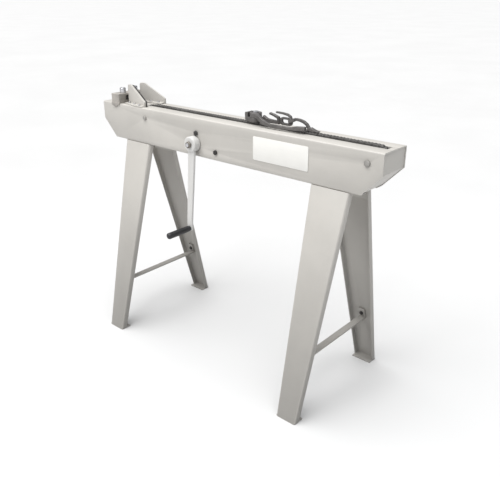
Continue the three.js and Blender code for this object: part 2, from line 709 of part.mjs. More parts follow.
// The arm hangs straight down and is set outward toward its eye, so that it swings clear of the legs.
function addCrankArm() {
  const [x, z] = CRANK;
  const end = arc(x, z - CRANK_REACH, 12, 0, -Math.PI, 8);
  const front = prismY(orient([[x - 16.5, z], [x + 16.5, z], ...end]), -130, -70);
  const side = prismX(orient([
    [ARM_Y[0], z], [ARM_Y[0], z - 46], [EYE_Y[0], z - 308], [EYE_Y[0], z - 360],
    [EYE_Y[1], z - 360], [EYE_Y[1], z - 310], [ARM_Y[1], z - 44], [ARM_Y[1], z],
  ]), x - 40, x + 40);
  const hub = turnedY(CRANK, [
    [SHAFT_R + GAP, -99], [26.5, -99], [29, -96.5], [29, FACE - 2.4], [SHAFT_R + GAP, FACE - 2.4],
    [SHAFT_R + GAP, -99],
  ], 32);
  const grip = [x, z - CRANK_REACH];
  const shaftBore = cylinderY(CRANK, SHAFT_R + GAP, -110, -60, 32);
  const eyeBore = cylinderY(grip, 5 + GAP, -130, -60);
  add('crank_arm', cut(union(front.intersect(side), hub), shaftBore, eyeBore), 'paint');
  const nut = cylinderY(CRANK, 12.7, -108.5, -99 - GAP, 6);
  const nutBore = union(cylinderY(CRANK, SHAFT_R + GAP, -105.6, -90), cylinderY(CRANK, 7 + GAP, -120, -100));
  add('crank_nut', cut(nut, nutBore), 'black');
  addGrip(grip);
}

// Free-turning handle on a spindle that is riveted flush into the arm's eye.
function addGrip(at) {
  const [outer, inner] = GRIP_Y;
  const spindle = union(
    cylinderY(at, 5, outer + 9, EYE_Y[1] - 0.4, 28),
    cylinderY(at, 8, inner + 0.3, EYE_Y[0] - 0.3, 20),
  );
  add('grip_spindle', spindle, 'bright');
  const handle = turnedY(at, [
    [5 + RUN_FIT, inner], [5 + RUN_FIT, outer + 8], [0, outer + 8], [0, outer], [7, outer + 1.4],
    [11, outer + 6], [12.4, outer + 13], [12.4, inner - 17], [11.3, inner], [5 + RUN_FIT, inner],
  ], 28);
  add('grip', handle, 'black');
}

// Tongs: two halves lapped over a rivet, jaws toward the die, reins toward the chain hook.
function addTongs() {
  const [z0, z1] = TONG_Z;
  addTongLower(z0, z1);
  addTongUpper(z0, z1);
  const shank = cylinderZ(RIVET_X, 0, 6, z0 - 0.2, z1 + 2, 28);
  add('tong_rivet', union(shank, cylinderZ(RIVET_X, 0, 10, z1 + GAP, z1 + 4)), 'bright');
  addRing();
  addHook();
}

// Jaw, neck and round lap of one half; side is +1 for the half whose jaw is at the back.
function tongHead(low, high, side) {
  const [z0, z1] = TONG_Z;
  const near = side * 0.3;
  const far = side * JAW_HALF;
  const sideView = prismY(orient([
    [JAW_X, z0 + 7], [JAW_X, z1 - 1], [102.5, z1], [102.5, z0], [JAW_X + 11, z0],
  ]), Math.min(near, far), Math.max(near, far));
  const neck = prismZ(orient([
    [101, far], [101, near], [103.5, near], [RIVET_X, -side * 8], [RIVET_X + 12, side * 18],
    [RIVET_X, side * 21.5],
  ]), low, high);
  const teeth = [93, 98].map((x) => box(x, x + 2, -1.2, 1.2, z0 - 1, z1 + 1));
  return cut(union(sideView, neck, cylinderZ(RIVET_X, 0, 22, low, high, 24)), ...teeth);
}

// The back rein ends in a horn that turns up and points back toward the jaws.
function addTongLower(z0) {
  const top = LAP_Z - 0.3;
  const plan = ribbon([[130, 6, 18], [150, 14, 13], [180, 11, 10], [206, 10, 9], [229, 10, 9]]);
  const sideView = [
    [120, z0], [150, 957], [226, 958.5], [228, 974], [223.5, 984], [201, 991], [181, 994], [180, 987.5],
    [198, 983.5], [214, 977.5], [217.5, 970], [190, 970.5], [170, 971.5], [149.5, 980], [149.5, top],
    [120, top],
  ];
  const rein = prismZ(orient(plan), 900, 1100).intersect(prismY(orient(sideView), -60, 60));
  const bore = cylinderZ(RIVET_X, 0, 6 + GAP, 900, 1100, 28);
  add('tong_lower', cut(union(tongHead(z0, top, -1), rein), bore), 'steel');
}

function addTongUpper(z0, z1) {
  const low = LAP_Z + 0.3;
  const plan = ribbon([
    [128, -8, 18], [150, -19, 14], [175, -27, 11], [215, -31, 9], [260, -30, 9], [310, -26, 10],
    [320, -25, 14], [358, -21, 14],
  ]);
  const sideView = [
    [118, low], [150, 973], [178, 959], [210, 954], [260, 954], [330, 957], [358, 961], [359, 973],
    [322, 970], [300, 965], [215, 965], [180, 975], [158, 985], [140, z1], [118, z1],
  ];
  const rein = prismZ(orient(plan), 900, 1100).intersect(prismY(orient(sideView), -60, 60));
  const bore = cylinderZ(RIVET_X, 0, 6 + RUN_FIT, 900, 1100, 28);
  add('tong_upper', cut(union(tongHead(low, z1, 1), rein), bore), 'steel');
}

function orient(points) {
  const twice = points.reduce((sum, [a, b], i) => {
    const [c, d] = points[(i + 1) % points.length];
    return sum + a * d - c * b;
  }, 0);
  return twice < 0 ? [...points].reverse() : points;
}

// Pull ring with an upturned horn; the hook's pin passes through its far end.
function addRing() {
  const outline = rounded([[237, 961.5, 11], [288, 961.5, 11], [288, 988, 11], [237, 988, 11]], 5);
  const eye = rounded([[246, 968.7, 6], [274.5, 968.7, 6], [274.5, 981.3, 6], [246, 981.3, 6]], 4);
  const horn = ribbon([
    [281, 980, 9], [283, 986, 8], [280, 992.5, 8], [268, 998, 8], [247, 1000.5, 7], [218, 1001, 6],
  ]);
  const link = union(prismY(outline, -4.5, 4.5, [eye]), prismY(orient(horn), -3.5, 3.5));
  const bore = cylinderY(HOOK_PIN, 2.5 + RUN_FIT, -20, 20, 20);
  add('pull_ring', cut(link, prismY(eye, -20, 20), bore), 'steel');
}

// Forked hook that arches over to the chain, with a blunt tooth let into its foot.
function addHook() {
  const cheek = orient(ribbon([[275.5, 975.5, 9], [281, 977, 9.5], [290, 981, 9.5], [300, 985.5, 8.5]]));
  const arch = ribbon([
    [297, 985, 8.5], [305, 987.3, 8.5], [319, 986.7, 8.5], [336, 983, 9], [349, 976, 9], [356, 967, 9],
    [360, 960, 9],
  ]);
  const foot = [[352, 956.5], [399, 956.5], [400, 959], [386, 961.5], [366, 969], [352, 962]];
  const hook = union(
    prismY(cheek, -9, -5), prismY(cheek, 5, 9), box(291.5, 300, -9, 9, 980.5, 989.2),
    cylinderY(HOOK_PIN, 2.5, -8, 8, 20), prismY(orient(arch), -4.5, 4.5), prismY(orient(foot), -7, 7),
  );
  const x = toothX();
  add('pull_hook', cut(hook, box(x - 1.75, x + 1.75, -3.15, 3.15, 940, 961.15)), 'steel');
  add('hook_tooth', box(x - 1.6, x + 1.6, -3, 3, TOP - 5, 961), 'steel');
}

// Middle of a gap between two rollers of the top run, under the hook's foot.
function toothX() {
  const start = PATH.pieces[0].from[0];
  return start + (Math.round((378 - start) / PITCH - 0.5) + 0.5) * PITCH;
}

function addNameplate() {
  const outline = rounded([[172, 841, 4], [408, 841, 4], [408, 924, 4], [172, 924, 4]]);
  add('nameplate', prismY(outline, FACE - 2, FACE - GAP), 'plate');
}

addBeam();
addTrestle('left', LEG_X[0]);
addTrestle('right', LEG_X[1]);
addDieEnd();
addChain();
addEndSprocket('sprocket_left', 'axle_left', AXLE_LEFT_X, 9);
addEndSprocket('sprocket_right', 'axle_right', AXLE_RIGHT_X, 11);
addDrive();
addCrank();
addTongs();
addNameplate();

export default group;
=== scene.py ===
"""Looks for the hand-cranked draw bench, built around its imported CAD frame. Metres, CAD frame."""

import json
import math

import bmesh
import bpy
from mathutils import Matrix, Vector


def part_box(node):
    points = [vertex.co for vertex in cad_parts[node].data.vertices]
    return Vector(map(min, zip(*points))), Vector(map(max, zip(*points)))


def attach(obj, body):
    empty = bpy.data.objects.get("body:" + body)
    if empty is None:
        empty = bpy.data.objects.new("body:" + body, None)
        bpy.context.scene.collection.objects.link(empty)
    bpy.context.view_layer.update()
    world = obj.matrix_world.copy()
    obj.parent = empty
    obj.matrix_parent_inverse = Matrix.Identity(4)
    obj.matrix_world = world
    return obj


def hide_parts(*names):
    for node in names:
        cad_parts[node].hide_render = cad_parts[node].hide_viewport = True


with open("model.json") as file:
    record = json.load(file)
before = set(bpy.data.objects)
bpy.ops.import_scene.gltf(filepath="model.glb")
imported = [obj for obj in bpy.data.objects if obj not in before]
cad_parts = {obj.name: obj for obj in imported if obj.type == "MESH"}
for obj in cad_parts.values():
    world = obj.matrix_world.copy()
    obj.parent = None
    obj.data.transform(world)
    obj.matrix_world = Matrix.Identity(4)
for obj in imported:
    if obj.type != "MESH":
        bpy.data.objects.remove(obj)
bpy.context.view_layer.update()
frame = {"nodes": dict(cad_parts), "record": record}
NODES = frame["nodes"]
BODY_OF = {n: b for b, ns in frame["record"]["behaviour"]["bodies"].items() for n in ns}
SLOT_OF = {s["node"]: s["material_slot"] for s in frame["record"]["subparts"]}
MM = 0.001


# ---- node helpers --------------------------------------------------------------------------


class Tree:
    """Short names for building one material's nodes."""

    def __init__(self, name):
        self.material = bpy.data.materials.new(name)
        self.material.use_nodes = True
        self.nodes = self.material.node_tree.nodes
        self.links = self.material.node_tree.links
        self.shader = self.nodes["Principled BSDF"]
        self.coords = self.nodes.new("ShaderNodeTexCoord").outputs["Object"]

    def add(self, kind, inputs=None, **settings):
        node = self.nodes.new("ShaderNode" + kind)
        for key, value in settings.items():
            setattr(node, key, value)
        for key, value in (inputs or {}).items():
            if hasattr(value, "is_linked"):
                self.links.new(value, node.inputs[key])
            else:
                node.inputs[key].default_value = value
        return node

    def noise(self, scale, detail=4.0, rough=0.55, stretch=(1, 1, 1), at=(0, 0, 0)):
        mapped = self.add("Mapping", {"Vector": self.coords, "Scale": stretch, "Location": at})
        return self.add(
            "TexNoise",
            {"Vector": mapped.outputs[0], "Scale": scale, "Detail": detail, "Roughness": rough},
        ).outputs["Fac"]

    def curve(self, value, low, high, to_low=0.0, to_high=1.0):
        node = self.add(
            "MapRange",
            {"Value": value, "From Min": low, "From Max": high, "To Min": to_low, "To Max": to_high},
            clamp=True,
            interpolation_type="SMOOTHSTEP",
        )
        return node.outputs["Result"]

    def times(self, a, b):
        return self.add("Math", {0: a, 1: b}, operation="MULTIPLY").outputs[0]

    def plus(self, a, b):
        return self.add("Math", {0: a, 1: b}, operation="ADD", use_clamp=True).outputs[0]

    def mix(self, factor, a, b):
        node = self.add("Mix", data_type="RGBA")
        for key, value in ((0, factor), (6, a), (7, b)):
            if hasattr(value, "is_linked"):
                self.links.new(value, node.inputs[key])
            elif key == 0:
                node.inputs[0].default_value = value
            else:
                node.inputs[key].default_value = (*value, 1.0)
        return node.outputs[2]

    def edges(self, radius, low=0.02, high=0.25):
        """1 along convex and concave edges, 0 on flats."""
        bevel = self.add("Bevel", {"Radius": radius}, samples=4)
        normal = self.add("NewGeometry").outputs["Normal"]
        dot = self.add("VectorMath", {0: bevel.outputs[0], 1: normal}, operation="DOT_PRODUCT")
        away = self.add("Math", {0: 1.0, 1: dot.outputs["Value"]}, operation="SUBTRACT")
        return self.curve(away.outputs[0], low, high)

    def low_down(self):
        """Mask for the painted shade toward the floor: 1 at the floor, 0 near the beam, broken up by
        streaks.
        """
        height = self.add("SeparateXYZ", {0: self.coords}).outputs["Z"]
        streaks = self.noise(9.0, 5.0, 0.6, stretch=(1, 1, 0.2), at=(0, 4, 0))
        level = self.add("Math", {0: self.times(streaks, 0.16), 1: height}, operation="ADD").outputs[0]
        return self.curve(level, 0.0, 0.98, 1.0, 0.0)

    def bump(self, height, strength, distance, after=None):
        inputs = {"Height": height, "Strength": strength, "Distance": distance}
        if after is not None:
            inputs["Normal"] = after
        return self.add("Bump", inputs).outputs["Normal"]

    def finish(self, color, roughness, normal, metallic=0.0, **sockets):
        self.links.new(color, self.shader.inputs["Base Color"])
        self.links.new(roughness, self.shader.inputs["Roughness"])
        self.links.new(normal, self.shader.inputs["Normal"])
        self.shader.inputs["Metallic"].default_value = metallic
        for key, value in sockets.items():
            self.shader.inputs[key.replace("_", " ")].default_value = value
        return self.material


def tone(color, gain):
    return tuple(min(1.0, c * gain) for c in color)


PRIMER = (0.10, 0.095, 0.09)
RUST = (0.16, 0.085, 0.045)
PALE_DUST = (0.10, 0.10, 0.10)


def paint(name, color, wear=0.35, peel=0.25, dirt=0.5, floor_shade=0.7):
    """Powder coat: orange peel, faint cloudiness, rubbed edges, and painted shade that darkens it toward
    the feet.
    """
    t = Tree(name)
    cloud = t.noise(5.0, 5.0, 0.6)
    fine = t.noise(60.0, 3.0, 0.6)
    smudge = t.noise(14.0, 6.0, 0.65, stretch=(0.6, 0.6, 1.6), at=(3, 1, 2))
    base = t.mix(t.curve(cloud, 0.3, 0.7), tone(color, 0.955), tone(color, 1.04))
    base = t.mix(t.times(t.curve(fine, 0.55, 0.8), 0.10), base, tone(color, 0.86))
    base = t.mix(t.times(t.curve(smudge, 0.56, 0.78), 0.22 * dirt), base, tone(color, 0.70))
    edge = t.edges(0.0016)
    rub = t.times(edge, t.curve(t.noise(35.0, 5.0, 0.7), 0.42, 0.62))
    base = t.mix(t.times(rub, wear), base, tone(color, 1.28))
    chip = t.times(edge, t.curve(t.noise(90.0, 4.0, 0.7, at=(5, 5, 5)), 0.63, 0.70))
    base = t.mix(t.times(chip, wear), base, PRIMER)
    # Painted shade: the paint darkens toward the floor, standing in for the light falling off on the
    # lower legs.
    base = t.mix(t.times(t.low_down(), floor_shade), base, tone(color, 0.42))
    rough = t.plus(t.curve(cloud, 0.2, 0.8, 0.40, 0.50), t.times(t.curve(smudge, 0.5, 0.8), 0.10))
    normal = t.bump(t.noise(420.0, 2.0, 0.5), peel, 0.0004)
    return t.finish(base, rough, normal, Specular_IOR_Level=0.42)


def steel(name, color, rough=0.42, metallic=0.85, grain=(1, 1, 1), wear=0.6, rust=0.0, bump=0.35):
    """Bare, oiled or plated steel with grain, bright edges and a little staining."""
    t = Tree(name)
    cloud = t.noise(18.0, 6.0, 0.65)
    grit = t.noise(160.0, 4.0, 0.6, stretch=grain)
    base = t.mix(t.curve(cloud, 0.3, 0.7), tone(color, 0.72), tone(color, 1.25))
    base = t.mix(t.times(t.curve(grit, 0.5, 0.75), 0.35), base, tone(color, 0.55))
    if rust:
        stain = t.curve(t.noise(26.0, 6.0, 0.7, at=(2, 7, 1)), 0.50, 0.66)
        base = t.mix(t.times(stain, rust), base, RUST)
    edge = t.times(t.edges(0.0012), t.curve(t.noise(70.0, 4.0, 0.6, at=(1, 4, 2)), 0.30, 0.60))
    base = t.mix(t.times(edge, wear), base, tone(color, 2.6))
    spread = t.curve(cloud, 0.25, 0.75, rough - 0.08, rough + 0.12)
    rough_out = t.plus(spread, t.times(t.curve(grit, 0.5, 0.8), 0.12))
    pits = t.bump(t.noise(60.0, 6.0, 0.7, stretch=grain), bump * 0.6, 0.0006)
    normal = t.bump(grit, bump, 0.0003, after=pits)
    return t.finish(base, rough_out, normal, metallic)


def plastic(name, color):
    """Black moulded grip: fine moulding texture, greasy shine where the palm rubs."""
    t = Tree(name)
    cloud = t.noise(30.0, 4.0)
    pores = t.noise(700.0, 2.0, 0.5)
    base = t.mix(t.curve(cloud, 0.35, 0.7), color, tone(color, 2.0))
    base = t.mix(t.times(t.curve(pores, 0.60, 0.75), 0.5), base, PALE_DUST)
    rough = t.curve(cloud, 0.3, 0.7, 0.32, 0.50)
    return t.finish(base, rough, t.bump(pores, 0.30, 0.0003))


def enamel(name, color):
    """Blank off-white plate, slightly aged."""
    t = Tree(name)
    cloud = t.noise(9.0, 5.0, 0.6)
    scuff = t.noise(120.0, 5.0, 0.7, stretch=(0.15, 1, 1))
    base = t.mix(t.curve(cloud, 0.3, 0.75), color, tone(color, 0.94))
    base = t.mix(t.times(t.curve(scuff, 0.60, 0.72), 0.18), base, tone(color, 0.78))
    edge = t.edges(0.0015)
    base = t.mix(t.times(edge, 0.5), base, tone(color, 0.80))
    return t.finish(base, t.curve(cloud, 0.3, 0.7, 0.30, 0.42), t.bump(scuff, 0.08, 0.0002))


GREY = (0.465, 0.447, 0.417)
LOOKS = {
    "paint": paint("bench_paint", GREY),
    "dark_steel": steel("dark_oiled_steel", (0.075, 0.073, 0.072), 0.40, 0.75),
    "black_steel": steel("blackened_steel", (0.050, 0.048, 0.047), 0.45, 0.50, wear=0.7),
    "bright_steel": steel("zinc_plated_steel", (0.60, 0.60, 0.62), 0.28, 0.95, wear=0.3, bump=0.15),
    "bronze": steel("bearing_bronze", (0.50, 0.32, 0.14), 0.35, 0.95),
    "grip_plastic": plastic("grip_black", (0.010, 0.010, 0.011)),
    "label": enamel("blank_plate", (0.74, 0.73, 0.70)),
}
CHALKY = paint("crank_paint", (0.57, 0.565, 0.55), wear=0.5, peel=0.5, dirt=0.9, floor_shade=0.0)
BROWNED = steel("browned_block_steel", (0.34, 0.32, 0.295), 0.55, 0.30, rust=0.15)
FORGED = steel("forged_tong_steel", (0.135, 0.128, 0.125), 0.44, 0.50, wear=0.8, bump=0.8)
# One chain steel in two tones: the dark tone on outer plates, and a light tone as painted highlight on
# inner plates, rollers and pins.
CHAIN = steel("chain_steel", (0.15, 0.145, 0.14), 0.42, 0.45, wear=0.5)
HIGHLIT_CHAIN = steel("highlit_chain_steel", (0.74, 0.73, 0.70), 0.36, 0.35, wear=0.6)
DULL = steel("dull_axle_steel", (0.36, 0.35, 0.33), 0.50, 0.45, wear=0.5, bump=0.2)
NUT_STEEL = steel("brown_nut_steel", (0.22, 0.20, 0.18), 0.45, 0.50, rust=0.3, wear=0.9)


# ---- pieces from CAD nodes -----------------------------------------------------------------


def take(name, mesh, node, material):
    """A finished piece that stands for one CAD node."""
    piece = bpy.data.objects.new(name, mesh)
    bpy.context.scene.collection.objects.link(piece)
    mesh.materials.clear()
    mesh.materials.append(material)
    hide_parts(node)
    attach(piece, BODY_OF[node])
    return piece


def smooth(mesh, angle=35.0):
    """Smooth shading that breaks at real edges."""
    bm = bmesh.new()
    bm.from_mesh(mesh)
    limit = math.radians(angle)
    for face in bm.faces:
        face.smooth = True
    for edge in bm.edges:
        edge.smooth = len(edge.link_faces) == 2 and edge.calc_face_angle(0.0) < limit
    bm.to_mesh(mesh)
    bm.free()


def welded(node):
    """The node's mesh as joined, flat-dissolved bmesh."""
    bm = bmesh.new()
    bm.from_mesh(NODES[node].data)
    bmesh.ops.remove_doubles(bm, verts=bm.verts, dist=2e-6)
    bmesh.ops.dissolve_limit(
        bm, angle_limit=math.radians(0.4), verts=bm.verts, edges=bm.edges, delimit={"NORMAL"}
    )
    return bm


def bevelled(node, width, material=None, segments=2, angle=30.0):
    """The CAD node with its edges broken, as folded, cut or turned metal has them."""
    bm = welded(node)
    sharp = [e for e in bm.edges if len(e.link_faces) == 2 and e.calc_face_angle(0) > math.radians(angle)]
    bmesh.ops.bevel(
        bm, geom=sharp, offset=width, offset_type="OFFSET", segments=segments, profile=0.5,
        affect="EDGES", clamp_overlap=True, harden_normals=False,
    )
    bmesh.ops.triangulate(bm, faces=[f for f in bm.faces if len(f.verts) > 4])
    bmesh.ops.remove_doubles(bm, verts=bm.verts, dist=1e-6)
    mesh = bpy.data.meshes.new(node + "_mesh")
    bm.to_mesh(mesh)
    bm.free()
    smooth(mesh)
    return take(node + "_fine", mesh, node, material or LOOKS[SLOT_OF[node]])


def forged(node, voxel, rounds, material):
    """The CAD node remeshed and relaxed, so that its edges roll over as on forged bar."""
    bm = welded(node)
    bmesh.ops.triangulate(bm, faces=bm.faces)
    mesh = bpy.data.meshes.new(node + "_mesh")
    bm.to_mesh(mesh)
    bm.free()
    piece = take(node + "_forged", mesh, node, material)
    remesh = piece.modifiers.new("remesh", "REMESH")
    remesh.mode = "VOXEL"
    remesh.voxel_size = voxel
    relax = piece.modifiers.new("relax", "SMOOTH")
    relax.factor = 0.5
    relax.iterations = rounds
    graph = bpy.context.evaluated_depsgraph_get()
    done = bpy.data.meshes.new_from_object(piece.evaluated_get(graph))
    piece.modifiers.clear()
    piece.data = done
    done.materials.clear()
    done.materials.append(material)
    for polygon in done.polygons:
        polygon.use_smooth = True
    return piece


# ---- the chain -----------------------------------------------------------------------------

PITCH = 12.7 * MM
END_TEETH = 20
DRIVE_TEETH = 12
IDLER_RADIUS = 18.255 * MM
ROLLER_RADIUS = 3.96 * MM
ROLLER_HALF_LENGTH = 4.15 * MM
PIN_RADIUS = 1.95 * MM
PIN_HEAD = (7.3 * MM, 8.1 * MM)
# Each plate: inner face and outer face from the chain's middle, half height at the pins, at the waist.
OUTER_PLATE = (6.0 * MM, 7.6 * MM, 5.1 * MM, 3.7 * MM)
INNER_PLATE = (4.2 * MM, 5.8 * MM, 5.7 * MM, 4.3 * MM)
PLATE_CHAMFER = 0.25 * MM


def centre(node):
    low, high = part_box(node)
    return (low + high) / 2


def wheel_list():
    """Wheels in chain order: centre x, centre z, pitch radius, turning sense."""
    end = END_TEETH * PITCH / math.tau
    drive = DRIVE_TEETH * PITCH / math.tau
    order = (
        ("axle_left", end, -1),
        ("axle_right", end, -1),
        ("idler_roller_right", IDLER_RADIUS, -1),
        ("countershaft", drive, 1),
        ("idler_roller_left", IDLER_RADIUS, -1),
    )
    return [(centre(n).x, centre(n).z, radius, turn) for n, radius, turn in order]


def chain_path():
    """The chain's straight runs and arcs with the length at which each starts, and the total."""
    wheels = wheel_list()
    headings = []
    for i, (x, z, r, turn) in enumerate(wheels):
        x2, z2, r2, turn2 = wheels[(i + 1) % len(wheels)]
        lean = math.asin((r2 * turn2 - r * turn) / math.hypot(x2 - x, z2 - z))
        headings.append(math.atan2(z2 - z, x2 - x) - lean)
    pieces, length = [], 0.0
    for i, (x, z, r, turn) in enumerate(wheels):
        nxt = wheels[(i + 1) % len(wheels)]
        h, after = headings[i], headings[(i + 1) % len(wheels)]
        n = Vector((-math.sin(h), math.cos(h)))
        start = Vector((x, z)) - r * turn * n
        end = Vector(nxt[:2]) - nxt[2] * nxt[3] * n
        run = (end - start).length
        pieces.append((length, "run", start, h, None))
        length += run
        pieces.append((length, "arc", None, h, nxt))
        length += ((after - h) * nxt[3]) % math.tau * nxt[2]
    return pieces, length


def on_path(pieces, length, s):
    """The point at length s along the chain, in x and z."""
    s %= length
    start, kind, origin, h, wheel = [p for p in pieces if p[0] <= s + 1e-9][-1]
    if kind == "run":
        return origin + (s - start) * Vector((math.cos(h), math.sin(h)))
    x, z, r, turn = wheel
    h += turn * (s - start) / r
    return Vector((x, z)) - r * turn * Vector((-math.sin(h), math.cos(h)))


def solid_outline(bm, points, y0, y1, chamfer=0.0):
    """A closed plate from an outline in x and z, with a small chamfer round both faces."""
    middle = sum((Vector(p) for p in points), Vector((0, 0))) / len(points)
    rings = []
    if chamfer:
        levels = [(y0, chamfer), (y0 + chamfer, 0.0), (y1 - chamfer, 0.0), (y1, chamfer)]
    else:
        levels = [(y0, 0.0), (y1, 0.0)]
    for y, inset in levels:
        ring = []
        for p in points:
            out = Vector(p) - middle
            q = middle + out * (1 - inset / max(out.length, 1e-6))
            ring.append(bm.verts.new((q.x, y, q.y)))
        rings.append(ring)
    count = len(points)
    for a, b in zip(rings, rings[1:]):
        for i in range(count):
            j = (i + 1) % count
            bm.faces.new((a[i], a[j], b[j], b[i]))
    bm.faces.new(list(reversed(rings[0])))
    bm.faces.new(rings[-1])


def plate_outline(a, b, radius, waist):
    """Figure-eight link plate between two pins."""
    along = (b - a).normalized()
    side = Vector((-along.y, along.x))
    points = []
    for middle, first in ((b, -100), (a, 80)):
        for k in range(11):
            angle = math.radians(first + k * 20)
            points.append(middle + radius * (math.cos(angle) * along + math.sin(angle) * side))
        sign = 1 if first < 0 else -1
        points.append((a + b) / 2 + sign * waist * side)
    return points


def round_bar(bm, at, radius, y0, y1, count, chamfer):
    """A round bar along y, centred on a point in x and z."""
    points = [
        at + radius * Vector((math.cos(math.tau * k / count), math.sin(math.tau * k / count)))
        for k in range(count)
    ]
    solid_outline(bm, points, y0, y1, chamfer)


def tint_new_faces(bm, before, index):
    """Give the faces added since there were `before` of them one material index."""
    bm.faces.ensure_lookup_table()
    for face in bm.faces[before:]:
        face.material_index = index


def build_chain():
    """Alternating outer and inner links with their rollers and riveted pins; inner plates, rollers and
    pins take a light tone of the chain steel that paints their highlights.
    """
    pieces, length = chain_path()
    links = round(length / PITCH)
    pins = [on_path(pieces, length, i * length / links) for i in range(links)]
    bm = bmesh.new()
    for i, pin in enumerate(pins):
        nxt = pins[(i + 1) % links]
        outer = i % 2 == 0
        before = len(bm.faces)
        inside, outside, height, waist = OUTER_PLATE if outer else INNER_PLATE
        for sign in (-1, 1):
            y0, y1 = sorted((sign * inside, sign * outside))
            solid_outline(bm, plate_outline(pin, nxt, height, waist), y0, y1, PLATE_CHAMFER)
        # Outer plates keep the dark tone; inner plates get the light tone, a painted highlight.
        tint_new_faces(bm, before, 0 if outer else 1)
        before = len(bm.faces)
        round_bar(bm, pin, ROLLER_RADIUS, -ROLLER_HALF_LENGTH, ROLLER_HALF_LENGTH, 16, PLATE_CHAMFER)
        for sign in (-1, 1):
            y0, y1 = sorted((sign * PIN_HEAD[0], sign * PIN_HEAD[1]))
            round_bar(bm, pin, PIN_RADIUS, y0, y1, 10, 0.3 * MM)
        # Rollers and pins get the light tone as well, a painted highlight.
        tint_new_faces(bm, before, 1)
    bmesh.ops.recalc_face_normals(bm, faces=bm.faces)
    mesh = bpy.data.meshes.new("roller_chain_mesh")
    bm.to_mesh(mesh)
    bm.free()
    smooth(mesh, 40)
    take("roller_chain", mesh, "chain", CHAIN)
    mesh.materials.append(HIGHLIT_CHAIN)


# ---- turned pieces -------------------------------------------------------------------------


def turned(name, node, profile, origin, axis, count, material, knurl=None):
    """Lathe profile of (radius, height) pairs about an axis.

    An optional knurl is (low height, high height, depth, step along the axis).
    """
    turn = Vector((0, 0, 1)).rotation_difference(Vector(axis)).to_matrix().to_4x4()
    place = Matrix.Translation(origin) @ turn
    bm = bmesh.new()
    rings = []
    for radius, height in profile:
        ring = []
        for k in range(count):
            r = radius
            if knurl and knurl[0] <= height <= knurl[1]:
                low, _, depth, step = knurl
                phase = 1 if (k + round((height - low) / step)) % 2 else -1
                r += depth * phase
            angle = math.tau * k / count
            ring.append(bm.verts.new(place @ Vector((r * math.cos(angle), r * math.sin(angle), height))))
        rings.append(ring)
    for a, b in zip(rings, rings[1:]):
        for i in range(count):
            j = (i + 1) % count
            bm.faces.new((a[i], a[j], b[j], b[i]))
    bm.faces.new(list(reversed(rings[0])))
    bm.faces.new(rings[-1])
    bmesh.ops.remove_doubles(bm, verts=bm.verts, dist=1e-7)
    bmesh.ops.recalc_face_normals(bm, faces=bm.faces)
    mesh = bpy.data.meshes.new(name + "_mesh")
    bm.to_mesh(mesh)
    bm.free()
    smooth(mesh, 50)
    return take(name, mesh, node, material)


GRIP_DOME = 7.6 * MM
GRIP_GROOVES = (0.10, 0.16, 0.22)


def build_grip():
    """A slightly swelling grip with three finger grooves and a domed end."""
    low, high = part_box("grip")
    r = (high.x - low.x) / 2
    length = high.y - low.y
    profile = [(0.55 * r, 0.0), (0.86 * r, 0.0), (0.90 * r, 0.8 * MM)]
    steps = 44
    for k in range(steps + 1):
        s = k / steps
        y = (0.9 + s * (length / MM - 8.5)) * MM
        swell = 0.90 + 0.10 * min(1.0, s * 6) ** 0.7
        groove = 0.0
        for at in GRIP_GROOVES:
            groove += 0.045 * math.exp(-((s - at) / 0.012) ** 2)
        profile.append(((swell - groove) * r, y))
    for k in range(1, 10):
        a = math.pi / 2 * k / 9
        height = length - GRIP_DOME + GRIP_DOME * math.sin(a)
        profile.append((max(r * math.cos(a), 0.0004), height))
    middle = Vector(((low.x + high.x) / 2, high.y, (low.z + high.z) / 2))
    turned("hand_grip", "grip", profile, middle, (0, -1, 0), 48, LOOKS["grip_plastic"])


SHANK_LENGTH = 4.05 * MM
SHANK_RADIUS = 6.0 * MM
SOCKET_RADIUS = 5.6 * MM
SOCKET_DEPTH = 8 * MM


def build_screw(node):
    """A clamp screw's knurled head with its socket, and the shank under it."""
    low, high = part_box(node)
    r = (high.x - low.x) / 2
    base = low.z + SHANK_LENGTH
    top = high.z - base
    shank = low.z - base
    knurl_low = 1.6 * MM
    knurl_high = top - 2.2 * MM
    step = 1.15 * MM
    profile = [
        (SHANK_RADIUS - 0.4 * MM, shank),
        (SHANK_RADIUS, shank + 0.5 * MM),
        (SHANK_RADIUS, 0.0),
        (r - 1.2 * MM, 0.0),
        (r - 0.5 * MM, 0.8 * MM),
    ]
    k = 0
    while knurl_low + k * step <= knurl_high:
        profile.append((r - 0.35 * MM, knurl_low + k * step))
        k += 1
    profile += [
        (r - 0.5 * MM, top - 1.2 * MM),
        (r - 1.5 * MM, top),
        (SOCKET_RADIUS + 1.0 * MM, top),
        (SOCKET_RADIUS, top - 0.6 * MM),
        (SOCKET_RADIUS, top - SOCKET_DEPTH),
        (0.4 * MM, top - SOCKET_DEPTH - 1 * MM),
    ]
    middle = Vector(((low.x + high.x) / 2, (low.y + high.y) / 2, base))
    knurl = (knurl_low - 1e-6, knurl_high + 1e-6, 0.32 * MM, step)
    turned(node + "_knurled", node, profile, middle, (0, 0, 1), 84, LOOKS["bright_steel"], knurl)


BEAD_SIDES = 8


